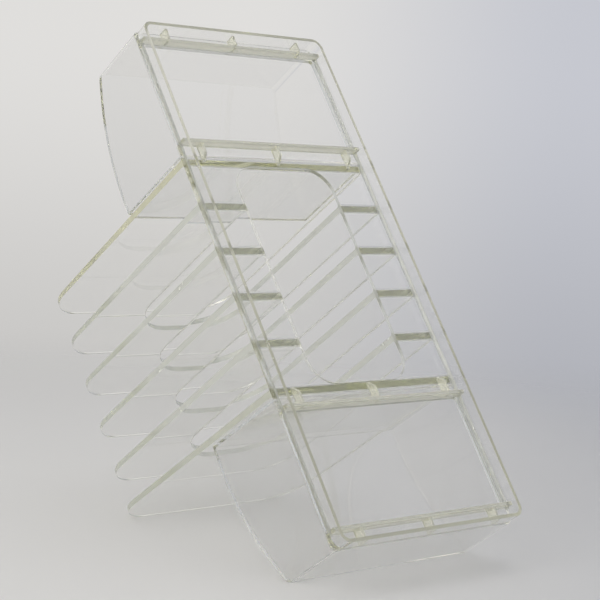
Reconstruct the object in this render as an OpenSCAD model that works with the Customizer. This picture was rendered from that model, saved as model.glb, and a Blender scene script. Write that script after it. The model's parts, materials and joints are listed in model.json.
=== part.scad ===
// Clear plastic bottle rack: a framed back plate with a window bay at each end, six shelves on its
// back and a box tray behind each window. It leans on its lowest shelf and its bottom tray.

/* [Panel] */
// Width of the rack, side to side
panel_w = 150; // [135:1:200]
// Outer corner radius of the rim
corner_r = 7; // [4:0.5:10]
// Rim depth, from its front edge to the back of the plate
rim_depth = 12; // [9:0.5:18]
// Thickness of the rim wall
rim_t = 2.2; // [1.5:0.1:3]
// Thickness of the back plate
plate_t = 2.5; // [2:0.1:4]
// Width of the big opening in the middle, and of the cut-outs in the shelves
opening_w = 80; // [60:1:90]
// Corner radius of the big opening
opening_r = 18; // [8:1:25]

/* [Shelves] */
// Distance from one shelf to the next
shelf_pitch = 32; // [26:1:40]
// Distance from the end of the panel to the nearest shelf
bay_h = 100; // [90:1:120]
// Depth of the shelves behind the plate
shelf_depth = 185; // [170:1:210]
// Shelf thickness at the plate
root_t = 4.4; // [3:0.1:6]
// Shelf thickness at the front edge, thinner for mould draft
tip_t = 3.2; // [2:0.1:4]
// Radius of the shelves' outer corners
shelf_corner_r = 28; // [8:1:40]
// Depth of the cut-outs in the middle shelves
cutout_depth = 147; // [100:1:150]
// Radius of the cut-outs' inner corners
cutout_r = 32; // [10:1:38]
// Fillet where a shelf meets the plate
root_fillet = 1.4; // [0.8:0.1:2]
// How far the lowest shelf springs up at its edge, carrying the rack
foot_rise = 5.4; // [0:0.1:8]

/* [Trays] */
// Depth of the trays next to the shelves
tray_depth = 65.5; // [55:0.5:75]
// Depth of the trays at the panel's ends
tray_end_depth = 44; // [35:0.5:50]
// Wall thickness of the trays
tray_wall = 1.5; // [1.2:0.1:2.5]
// Radius of the trays' outer corners, at the panel's ends
tray_corner_r = 4; // [3:0.5:10]

/* [Windows] */
// Width of the narrow ledge at each side of a window
side_ledge = 2.4; // [1.5:0.1:4]
// Distance from the panel's end to the outer rib
outer_ledge = 9; // [7:0.5:12]
// Distance from the inner rib to the nearest shelf's face
inner_ledge = 8.6; // [7:0.1:14]
// Thickness of the ribs
rib_t = 2.6; // [1.5:0.1:3.5]
// How far the ribs and the webs of the inner ribs stand out from the plate's front
rib_h = 5.5; // [5:0.1:7]
// How far the webs of the outer ribs stand out from the plate's front
outer_web_h = 6.5; // [5:0.1:8]
// Thickness of the small webs
web_t = 2; // [1.2:0.1:3]
// Distance from one web of an outer rib to the next
outer_web_pitch = 55; // [40:0.5:62]
// Distance from one web of an inner rib to the next
inner_web_pitch = 60.5; // [40:0.5:62]

/* [Hidden] */
$fn = 96;
shelf_count = 6;
top_shelf = 1;
foot_shelf = shelf_count;
web_count = 3;
web_chamfer = 4.5;
window_r = 2;
panel_h = 2 * bay_h + (shelf_count - 1) * shelf_pitch;
inner_w = panel_w - 2 * rim_t;
window_w = inner_w - 2 * side_ledge;
outer_rib_z = outer_ledge;
inner_rib_z = bay_h - root_t / 2 - inner_ledge - rib_t;
inner_web_end = bay_h + 1;
tip_r = tip_t / 2;

// The trays' curved outer wall is part of a cylinder, square to the plate at arc_z
arc_z = 85;
arc_sag = tray_depth - tray_end_depth;
arc_r = (arc_z * arc_z + arc_sag * arc_sag) / (2 * arc_sag);
tray_h = bay_h - root_t / 2 - root_fillet - 0.2;

// The rack leans on the bottom tray's outer edge and on the lowest shelf's rounded front edge
foot_y = shelf_depth - tip_r - tray_end_depth;
foot_z = bay_h + foot_rise;
lean = atan2(foot_z, foot_y) - asin(tip_r / norm([foot_y, foot_z]));
front_y = -rim_depth * cos(lean);
back_y = (shelf_depth - tip_r) * cos(lean) + (panel_h - bay_h) * sin(lean) + tip_r;

// Stands the panel, drawn upright with its back on y = 0 and its foot on z = 0, in its leaning pose
module posed() {
    translate([0, -(front_y + back_y) / 2, tray_end_depth * sin(lean)])
        rotate([-lean, 0, 0])
            children();
}

// Turns the panel end for end, so that what is drawn for the lower bay serves the upper bay
module upper_bay() {
    translate([0, 0, panel_h]) mirror([0, 0, 1]) children();
}

// Extrudes an outline drawn in x and z from y0 to y1
module extrude_back(y0, y1) {
    translate([0, y1, 0]) rotate([90, 0, 0]) linear_extrude(y1 - y0) children();
}

// Extrudes a side view drawn in y and z across the width w, centred on x = 0
module extrude_across(w) {
    translate([-w / 2, 0, 0]) rotate([90, 0, 90]) linear_extrude(w) children();
}

module rounded_rect(x0, z0, w, h, r) {
    translate([x0, z0]) {
        translate([r, 0]) square([w - 2 * r, h]);
        translate([0, r]) square([w, h - 2 * r]);
        for (x = [r, w - r], z = [r, h - r]) translate([x, z]) circle(r);
    }
}

// The panel's outline, inset by d
module panel_outline(d) {
    rounded_rect(d - panel_w / 2, d, panel_w - 2 * d, panel_h - 2 * d, corner_r - d);
}

module rim_frame() {
    color("#cfd6bd") posed() extrude_back(-rim_depth, 0) difference() {
        panel_outline(0);
        panel_outline(rim_t);
    }
}

module window_outline() {
    window_z = outer_rib_z + rib_t;
    rounded_rect(-window_w / 2, window_z, window_w, inner_rib_z - window_z, window_r);
}

module back_plate() {
    opening_z = bay_h + root_t / 2;
    color("#dfe3d6") posed() extrude_back(-plate_t, 0) difference() {
        panel_outline(rim_t);
        rounded_rect(-opening_w / 2, opening_z, opening_w, panel_h - 2 * opening_z, opening_r);
        window_outline();
        translate([0, panel_h]) mirror([0, 1]) window_outline();
    }
}

// Side view of a shelf on z = 0: tapered, with a rounded front edge and a fillet at the root
module shelf_profile(rise) {
    tip_y = shelf_depth - tip_r;
    polygon([[0, -root_t / 2], [tip_y, rise - tip_r], [tip_y, rise + tip_r], [0, root_t / 2]]);
    translate([tip_y, rise]) circle(tip_r);
    for (side = [-1, 1]) difference() {
        translate([0, side > 0 ? 0 : -root_t / 2 - root_fillet])
            square([root_fillet, root_t / 2 + root_fillet]);
        translate([root_fillet, side * (root_t / 2 + root_fillet)]) circle(root_fillet);
    }
}

// Plan view of a shelf, with or without the cut-out that carries on from the big opening
module shelf_plan(cut) {
    difference() {
        rounded_rect(-panel_w / 2, -shelf_corner_r, panel_w, shelf_depth + shelf_corner_r,
            shelf_corner_r);
        translate([-panel_w / 2, -2 * shelf_corner_r]) square([panel_w, 2 * shelf_corner_r]);
        if (cut) rounded_rect(-opening_w / 2, -cutout_r - 1, opening_w,
            cutout_depth + cutout_r + 1, cutout_r);
    }
}

// Shelf number i, counted from the top
module shelf(i) {
    lift = root_t + root_fillet + foot_rise;
    cut = i != top_shelf && i != foot_shelf;
    posed() translate([0, 0, panel_h - bay_h - (i - 1) * shelf_pitch]) intersection() {
        extrude_across(panel_w) shelf_profile(i == foot_shelf ? foot_rise : 0);
        translate([0, 0, -lift]) linear_extrude(2 * lift) shelf_plan(cut);
    }
}

module top_shelf() { color("#b9c48f") shelf(top_shelf); }
module shelf_2() { color("#b9c48f") shelf(2); }
module shelf_3() { color("#b9c48f") shelf(3); }
module shelf_4() { color("#b9c48f") shelf(4); }
module shelf_5() { color("#b9c48f") shelf(5); }
module foot_shelf() { color("#b9c48f") shelf(foot_shelf); }

// A rib across the panel's front at height z
module rib(z) {
    translate([-inner_w / 2, -plate_t - rib_h, z]) cube([inner_w, rib_h, rib_t]);
}

// Three webs of height h from z0 to z1 on the panel's front, with their far ends cut back by chamfer
module webs(z0, z1, h, pitch, chamfer) {
    front = -plate_t - h;
    for (i = [0 : web_count - 1])
        translate([(i - (web_count - 1) / 2) * pitch, 0, 0]) extrude_across(web_t)
            polygon([[-plate_t, z0], [front, z0], [front, z1 - chamfer], [front + chamfer, z1],
                [-plate_t, z1]]);
}

module outer_webs() { webs(rim_t, outer_rib_z, outer_web_h, outer_web_pitch, 0); }
module inner_webs() {
    webs(inner_rib_z + rib_t, inner_web_end, rib_h, inner_web_pitch, web_chamfer);
}

module upper_outer_rib() { color("#c8cfb2") posed() upper_bay() rib(outer_rib_z); }
module upper_inner_rib() { color("#c8cfb2") posed() upper_bay() rib(inner_rib_z); }
module lower_inner_rib() { color("#c8cfb2") posed() rib(inner_rib_z); }
module lower_outer_rib() { color("#c8cfb2") posed() rib(outer_rib_z); }
module upper_outer_webs() { color("#d9dcae") posed() upper_bay() outer_webs(); }
module upper_inner_webs() { color("#d9dcae") posed() upper_bay() inner_webs(); }
module lower_inner_webs() { color("#d9dcae") posed() inner_webs(); }
module lower_outer_webs() { color("#d9dcae") posed() outer_webs(); }

// The solid shape of the lower tray inset by d, its inner end following the shelf's underside
module tray_shape(d, rise, y0) {
    slope = rise / shelf_depth;
    far = tray_depth + 1;
    intersection() {
        extrude_across(panel_w) polygon([[y0, 0], [far, 0], [far, tray_h - d + slope * far],
            [y0, tray_h - d + slope * y0]]);
        extrude_back(y0 - 1, far + 1)
            rounded_rect(d - panel_w / 2, d, panel_w - 2 * d, panel_h, tray_corner_r - d);
        translate([-panel_w / 2 - 1, tray_depth - arc_r, arc_z]) rotate([0, 90, 0])
            cylinder(r = arc_r - d, h = panel_w + 2, $fn = 360);
    }
}

module tray(rise) {
    difference() {
        tray_shape(0, rise, 0);
        tray_shape(tray_wall, rise, -5);
    }
}

module top_tray() { color("#e6e8e2") posed() upper_bay() tray(0); }
module bottom_tray() { color("#e6e8e2") posed() tray(foot_rise); }

rim_frame();
back_plate();
top_shelf();
shelf_2();
shelf_3();
shelf_4();
shelf_5();
foot_shelf();
upper_outer_rib();
upper_inner_rib();
lower_inner_rib();
lower_outer_rib();
upper_outer_webs();
upper_inner_webs();
lower_inner_webs();
lower_outer_webs();
top_tray();
bottom_tray();
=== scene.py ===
"""The looks of a clear plastic bottle rack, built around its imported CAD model."""

import json
from math import cos, radians, sin

import bmesh
import bpy
from mathutils import Matrix, Vector


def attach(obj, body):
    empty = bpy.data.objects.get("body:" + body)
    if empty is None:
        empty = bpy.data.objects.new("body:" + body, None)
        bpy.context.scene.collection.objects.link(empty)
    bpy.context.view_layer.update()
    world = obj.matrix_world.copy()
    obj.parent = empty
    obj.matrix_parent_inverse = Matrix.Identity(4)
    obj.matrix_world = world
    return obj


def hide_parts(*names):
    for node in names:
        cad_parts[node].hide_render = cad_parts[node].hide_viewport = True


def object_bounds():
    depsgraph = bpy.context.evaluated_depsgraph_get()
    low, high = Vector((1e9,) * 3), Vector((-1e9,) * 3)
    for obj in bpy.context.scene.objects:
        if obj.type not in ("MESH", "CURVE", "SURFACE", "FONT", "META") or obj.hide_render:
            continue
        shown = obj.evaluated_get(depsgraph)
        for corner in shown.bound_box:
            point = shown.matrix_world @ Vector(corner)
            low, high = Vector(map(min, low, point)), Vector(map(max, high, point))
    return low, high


MM = 0.001
IOR = 1.49              # acrylic and similar clear mouldings
OLIVE = (0.82, 0.825, 0.64)
BOND = 0.03 * MM        # how far bonded pieces reach into each other, so that no air is left between
TOLERANCE = 0.02 * MM   # how near a vertex has to be to a plane to count as on it
EDGE = 1                # the material slot of a piece's less polished edges
DENSITY = 7.0           # how strongly the plastic tints the light inside it, per metre
TRAY_DENSITY = 2.5
EDGE_ROUGHNESS = 0.25
BOUNCES = 256           # light stays inside a clear sheet for many reflections

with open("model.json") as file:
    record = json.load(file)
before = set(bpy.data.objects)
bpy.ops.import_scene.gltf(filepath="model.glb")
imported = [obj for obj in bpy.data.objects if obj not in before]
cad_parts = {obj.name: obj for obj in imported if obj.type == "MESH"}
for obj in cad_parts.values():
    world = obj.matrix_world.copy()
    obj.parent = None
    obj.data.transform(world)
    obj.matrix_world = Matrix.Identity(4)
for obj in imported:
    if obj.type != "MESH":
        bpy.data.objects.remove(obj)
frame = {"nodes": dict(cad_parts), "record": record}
cad_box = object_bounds()
nodes = frame["nodes"]


# The panel's own frame: x across, y behind the plate's back, z along the panel from its foot

def panel_frame():
    """The matrix from panel coordinates to the row frame, from the mounts on the rim and its ends."""
    mounts = {m["name"]: m for m in frame["record"]["mounts"]}
    front = Vector(mounts["rim_face"]["axis"])
    up = Vector(mounts["top_end_face"]["axis"])
    foot = Vector(mounts["bottom_end_face"]["pos_m"])
    turn = Matrix((Vector((1, 0, 0)), -front, up)).transposed()
    plate_back = max((turn.transposed() @ (v.co - foot)).y for v in nodes["back_plate"].data.vertices)
    return Matrix.Translation(foot - front * plate_back) @ turn.to_4x4()


panel = panel_frame()


def extent(name):
    """A CAD node's lowest and highest corners in panel coordinates."""
    inverse = panel.inverted()
    points = [inverse @ v.co for v in nodes[name].data.vertices]
    return (Vector([min(p[i] for p in points) for i in range(3)]),
            Vector([max(p[i] for p in points) for i in range(3)]))


# Camera

def make_camera():
    """A camera at the left of the rim side, a little above the middle, held slightly tilted."""
    heading, pitch, roll = radians(41.24), radians(5.47), radians(3.22)
    lens, distance = 99.45, 1.0675
    aim = (cad_box[0] + cad_box[1]) / 2 + Vector((10.8, -10.8, -10.6)) * MM
    turn = (Matrix.Rotation(-heading, 4, "Z") @ Matrix.Rotation(radians(90) - pitch, 4, "X")
            @ Matrix.Rotation(roll, 4, "Z"))
    data = bpy.data.cameras.new("camera")
    data.lens = lens
    data.clip_start = 0.01
    camera = bpy.data.objects.new("camera", data)
    camera.matrix_world = Matrix.Translation(aim + turn.to_3x3() @ Vector((0, 0, distance))) @ turn
    bpy.context.scene.collection.objects.link(camera)
    bpy.context.scene.camera = camera


make_camera()


# Materials

def new_material(name):
    material = bpy.data.materials.new(name)
    material.use_nodes = True
    tree = material.node_tree
    tree.nodes.clear()
    return material, tree


def add(tree, kind, **values):
    """A new shader node, with its inputs set by name (spaces as underscores) and others as given."""
    node = tree.nodes.new(kind)
    for key, value in values.items():
        socket = node.inputs.get(key.replace("_", " "))
        if socket is not None:
            socket.default_value = value
        else:
            setattr(node, key, value)
    return node


def remap(tree, value, low, high, to_low, to_high):
    """value, mapped smoothly from low..high to to_low..to_high."""
    node = add(tree, "ShaderNodeMapRange", interpolation_type="SMOOTHSTEP", From_Min=low,
               From_Max=high, To_Min=to_low, To_Max=to_high)
    tree.links.new(value, node.inputs["Value"])
    return node.outputs["Result"]


def clear_plastic(name, density, roughness=0.0, cloud=0.0, tone=(1.0, 1.0, 1.0)):
    """Clear moulded plastic that turns olive through its depth, and lets through the colour tone. The
    mould has left a faint ripple and handling a few dull marks. Where the mould isn't polished it
    leaves a roughness and a milky share of cloud."""
    material, tree = new_material(name)
    place = add(tree, "ShaderNodeTexCoord").outputs["Object"]
    ripple = add(tree, "ShaderNodeTexNoise", Scale=18.0, Detail=2.0)
    marks = add(tree, "ShaderNodeTexNoise", Scale=90.0, Detail=6.0, Roughness=0.7)
    for texture in (ripple, marks):
        tree.links.new(place, texture.inputs["Vector"])
    bump = add(tree, "ShaderNodeBump", Strength=0.06, Distance=0.1 * MM)
    tree.links.new(ripple.outputs["Fac"], bump.inputs["Height"])
    surface = add(tree, "ShaderNodeBsdfPrincipled", Base_Color=(*tone, 1), IOR=IOR,
                  Transmission_Weight=1 - cloud)
    tree.links.new(remap(tree, marks.outputs["Fac"], 0.45, 0.75, roughness, roughness + 0.03),
                   surface.inputs["Roughness"])
    tree.links.new(bump.outputs["Normal"], surface.inputs["Normal"])
    inside = add(tree, "ShaderNodeVolumeAbsorption", Color=(*OLIVE, 1), Density=density)
    out = add(tree, "ShaderNodeOutputMaterial")
    tree.links.new(surface.outputs["BSDF"], out.inputs["Surface"])
    tree.links.new(inside.outputs["Volume"], out.inputs["Volume"])
    return material


def with_edges(name, dimness, cloud, tone, density=DENSITY):
    """A piece's two finishes: its polished faces, which dim what is behind them a little, and its less
    polished edges."""
    seen_through = (1 - dimness, 1 - dimness, 1 - 1.1 * dimness)
    return (clear_plastic(name + "_clear", density, tone=seen_through),
            clear_plastic(name + "_edge", density, EDGE_ROUGHNESS, cloud, tone))


GREY = (0.84, 0.85, 0.83)
PALE_OLIVE = (0.90, 0.89, 0.78)
RIB_TONE = (0.90, 0.90, 0.81)
rim_finish = with_edges("rim", 0.03, 0.35, PALE_OLIVE)
plate_finish = with_edges("plate", 0.01, 0.3, GREY)
shelf_finish = with_edges("shelf", 0.01, 0.35, GREY)
top_shelf_finish = with_edges("top_shelf", 0.01, 0.3, PALE_OLIVE)
tray_finish = with_edges("tray", 0.04, 0.25, GREY, TRAY_DENSITY)
rib_finish = 2 * (clear_plastic("rib_clear", DENSITY, 0.05, 0.27, RIB_TONE),)  # one finish all over


# The moulded pieces: each is its CAD solid with rounded edges

def welded(name):
    """The CAD node's shape in panel coordinates, with its corners welded and its flat faces whole."""
    shape = bmesh.new()
    shape.from_mesh(nodes[name].data)
    shape.transform(panel.inverted())
    bmesh.ops.remove_doubles(shape, verts=shape.verts, dist=0.001 * MM)
    bmesh.ops.dissolve_limit(shape, angle_limit=radians(0.3), verts=shape.verts,
                             edges=shape.edges)
    return shape


def shift(shape, axis, at, by):
    """Moves the vertices on the plane at, square to axis, by a small step along that axis."""
    for vertex in shape.verts:
        if abs(vertex.co[axis] - at) < TOLERANCE:
            vertex.co[axis] += by


def rounded(shape, radius, free, segments=3):
    """Rounds the sharp edges whose middle is free, as free(point) tells."""
    sharp = [e for e in shape.edges if len(e.link_faces) == 2
             and e.calc_face_angle() > radians(35)
             and free((e.verts[0].co + e.verts[1].co) / 2)]
    bmesh.ops.bevel(shape, geom=sharp, offset=radius, segments=segments, profile=0.5,
                    affect="EDGES", clamp_overlap=True, material=EDGE)


def unpolish(shape, narrow):
    """Gives the edge finish to the faces that narrow(middle, normal) picks."""
    for face in shape.faces:
        if narrow(face.calc_center_median(), face.normal):
            face.material_index = EDGE


def finished(shape, name, finish, replaced):
    """Makes the piece from its shape in panel coordinates and ties it to the CAD model."""
    shape.transform(panel)
    mesh = bpy.data.meshes.new(name)
    shape.to_mesh(mesh)
    shape.free()
    mesh.shade_smooth()
    mesh.set_sharp_from_angle(angle=radians(35))
    for material in finish:
        mesh.materials.append(material)
    piece = bpy.data.objects.new(name, mesh)
    bpy.context.scene.collection.objects.link(piece)
    normals = piece.modifiers.new("flat faces stay flat", "WEIGHTED_NORMAL")
    normals.weight = 100
    normals.keep_sharp = True
    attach(piece, "root")
    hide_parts(replaced)
    return piece


plate_low, plate_high = extent("back_plate")
inner_half = plate_high.x
plate_front = plate_low.y


def make_rim():
    shape = welded("rim_frame")
    unpolish(shape, lambda p, n: n.y < -0.9)
    rounded(shape, 0.35 * MM, lambda p: p.y < -TOLERANCE or abs(p.x) > inner_half + TOLERANCE)
    finished(shape, "rim_frame_clear", rim_finish, "rim_frame")


def add_fillets(shape):
    """Adds the fillets that blend the plate's front into the rim along its two sides."""
    radius, steps = 2 * MM, 8
    turns = [radians(90) * k / steps for k in range(steps + 1)]
    arc = [(inner_half - radius * (1 - cos(t)), plate_front - radius * (1 - sin(t))) for t in turns]
    for side in (-1, 1):
        outline = [(inner_half + BOND, plate_front + BOND), (inner_half + BOND, arc[0][1])]
        outline += arc + [(arc[-1][0], plate_front + BOND)]
        rings = [[shape.verts.new((side * x, y, z)) for x, y in outline]
                 for z in (plate_low.z + 6 * MM, plate_high.z - 6 * MM)]
        faces = [rings[0], rings[1][::-1]]
        faces += [(rings[0][k - 1], rings[1][k - 1], rings[1][k], rings[0][k])
                  for k in range(len(outline))]
        for corners in faces:
            shape.faces.new(corners).material_index = EDGE
    bmesh.ops.recalc_face_normals(shape, faces=shape.faces)


def make_plate():
    shape = welded("back_plate")
    edge = 1 * MM

    def inside(p):
        return abs(p.x) < inner_half - edge and plate_low.z + edge < p.z < plate_high.z - edge

    unpolish(shape, lambda p, n: inside(p) and abs(n.y) < 0.5)
    rounded(shape, 0.15 * MM, inside)
    add_fillets(shape)
    centre = (plate_low + plate_high) / 2
    for vertex in shape.verts:
        if not inside(vertex.co):
            out = vertex.co - centre
            vertex.co.x += BOND if out.x > 0 else -BOND
            vertex.co.z += BOND if out.z > 0 else -BOND
    finished(shape, "back_plate_clear", plate_finish, "back_plate")


def make_shelf(name):
    shape = welded(name)
    shift(shape, 1, 0, -BOND)
    unpolish(shape, lambda p, n: abs(n.z) < 0.7 and p.y > 3 * MM)
    rounded(shape, 0.25 * MM, lambda p: p.y > 3 * MM)
    finish = top_shelf_finish if name == "top_shelf" else shelf_finish
    finished(shape, name + "_clear", finish, name)


def make_rib(name):
    shape = welded(name)
    rounded(shape, 0.4 * MM, lambda p: p.y < plate_front - TOLERANCE and abs(p.x) < inner_half - 1 * MM)
    shift(shape, 1, plate_front, BOND)
    shift(shape, 0, inner_half, BOND)
    shift(shape, 0, -inner_half, -BOND)
    finished(shape, name + "_clear", rib_finish, name)


def make_webs(name):
    shape = welded(name)
    low, high = extent(name)
    rounded(shape, 0.3 * MM, lambda p: p.y < plate_front - TOLERANCE
            and low.z + TOLERANCE < p.z < high.z - TOLERANCE)
    shift(shape, 1, plate_front, BOND)
    shift(shape, 2, low.z, -BOND)
    shift(shape, 2, high.z, BOND)
    finished(shape, name + "_clear", rib_finish, name)


def make_tray(name):
    """A thin tray: its corners are rounded inside and out, so that the wall keeps its thickness."""
    shape = welded(name)
    low, high = extent(name)
    skin = 0.5 * MM

    def outside(p):
        return (abs(p.x) > high.x - skin or min(p.z - low.z, high.z - p.z) < skin)

    rounded(shape, 0.5 * MM, lambda p: outside(p) and p.y > skin)
    rounded(shape, 0.3 * MM, lambda p: outside(p) and p.y < TOLERANCE)
    rounded(shape, 0.5 * MM, lambda p: p.y > skin and not outside(p))
    shift(shape, 1, 0, -BOND)
    finished(shape, name + "_clear", tray_finish, name)


make_rim()
make_plate()
for name in nodes:
    if "shelf" in name:
        make_shelf(name)
    elif "rib" in name:
        make_rib(name)
    elif "webs" in name:
        make_webs(name)
    elif "tray" in name:
        make_tray(name)


# The floor and the light

RIGHT = (0.754, -0.654, 0.0)    # the picture's right, where the room is cooler and the floor in shade


def make_floor():
    """A pale disc whose colour carries a painted shade, darker and cooler to the right, and fades into
    the room at its edge.
    """
    material, tree = new_material("pale_floor")
    place = add(tree, "ShaderNodeTexCoord").outputs["Object"]
    length = add(tree, "ShaderNodeVectorMath", operation="LENGTH")
    tree.links.new(place, length.inputs[0])
    across = add(tree, "ShaderNodeVectorMath", operation="DOT_PRODUCT")
    across.inputs[1].default_value = RIGHT
    tree.links.new(place, across.inputs[0])
    # painted shade: the floor's colour turns darker and cooler towards the right, where the room's
    # light is cooler and weaker
    shade = add(tree, "ShaderNodeMix", data_type="RGBA")
    shade.inputs[6].default_value = (0.67, 0.665, 0.65, 1)
    shade.inputs[7].default_value = (0.505, 0.515, 0.545, 1)
    tree.links.new(remap(tree, across.outputs["Value"], -0.02, 0.48, 0.0, 1.0), shade.inputs[0])
    paper = add(tree, "ShaderNodeBsdfDiffuse")
    tree.links.new(shade.outputs[2], paper.inputs["Color"])
    nothing = add(tree, "ShaderNodeBsdfTransparent")
    mix = add(tree, "ShaderNodeMixShader")
    tree.links.new(remap(tree, length.outputs["Value"], 0.35, 1.1, 0.0, 1.0), mix.inputs[0])
    tree.links.new(paper.outputs["BSDF"], mix.inputs[1])
    tree.links.new(nothing.outputs["BSDF"], mix.inputs[2])
    out = add(tree, "ShaderNodeOutputMaterial")
    tree.links.new(mix.outputs["Shader"], out.inputs["Surface"])
    mesh = bpy.data.meshes.new("floor")
    disc = bmesh.new()
    bmesh.ops.create_circle(disc, cap_ends=True, radius=1.2, segments=96)
    disc.to_mesh(mesh)
    disc.free()
    mesh.materials.append(material)
    floor = bpy.data.objects.new("floor", mesh)
    floor.location.z = cad_box[0].z
    bpy.context.scene.collection.objects.link(floor)


def make_room():
    """A pale room, warmer and brighter on the left, cooler on the right and darker low down."""
    world = bpy.data.worlds.new("room")
    world.use_nodes = True
    bpy.context.scene.world = world
    tree = world.node_tree
    tree.nodes.clear()
    way = add(tree, "ShaderNodeTexCoord").outputs["Generated"]
    across = add(tree, "ShaderNodeVectorMath", operation="DOT_PRODUCT")
    across.inputs[1].default_value = RIGHT
    tree.links.new(way, across.inputs[0])
    mix = add(tree, "ShaderNodeMix", data_type="RGBA")
    colours = mix.inputs[6], mix.inputs[7]
    colours[0].default_value = (0.735, 0.725, 0.71, 1)
    colours[1].default_value = (0.56, 0.572, 0.622, 1)
    tree.links.new(remap(tree, across.outputs["Value"], -0.04, 0.17, 0.0, 1.0), mix.inputs[0])
    height = add(tree, "ShaderNodeSeparateXYZ")
    tree.links.new(way, height.inputs[0])
    light = add(tree, "ShaderNodeBackground")
    tree.links.new(remap(tree, height.outputs["Z"], -0.17, 0.06, 0.78, 1.01), light.inputs["Strength"])
    tree.links.new(mix.outputs[2], light.inputs["Color"])
    out = add(tree, "ShaderNodeOutputWorld")
    tree.links.new(light.outputs["Background"], out.inputs["Surface"])


def add_softbox(name, at, aim, size, power, colour):
    data = bpy.data.lights.new(name, "AREA")
    data.shape = "RECTANGLE"
    data.size, data.size_y = size
    data.energy = power
    data.color = colour
    lamp = bpy.data.objects.new(name, data)
    lamp.location = at
    lamp.rotation_euler = (Vector(aim) - Vector(at)).to_track_quat("-Z", "Y").to_euler()
    bpy.context.scene.collection.objects.link(lamp)


make_floor()
make_room()
add_softbox("overhead", (0.25, 0.0, 1.5), (0, 0, 0.1), (0.9, 0.9), 2.5, (1.0, 0.99, 0.97))
add_softbox("window", (-1.02, -0.12, 0.78), (0, 0, 0.16), (1.0, 1.0), 5.0, (1.0, 0.98, 0.94))

scene = bpy.context.scene
scene.view_settings.view_transform = "Standard"
for limit in ("max_bounces", "transmission_bounces", "glossy_bounces"):
    setattr(scene.cycles, limit, BOUNCES)
scene.cycles.diffuse_bounces = 32
scene.cycles.transparent_max_bounces = 16
scene.cycles.blur_glossy = 0.0
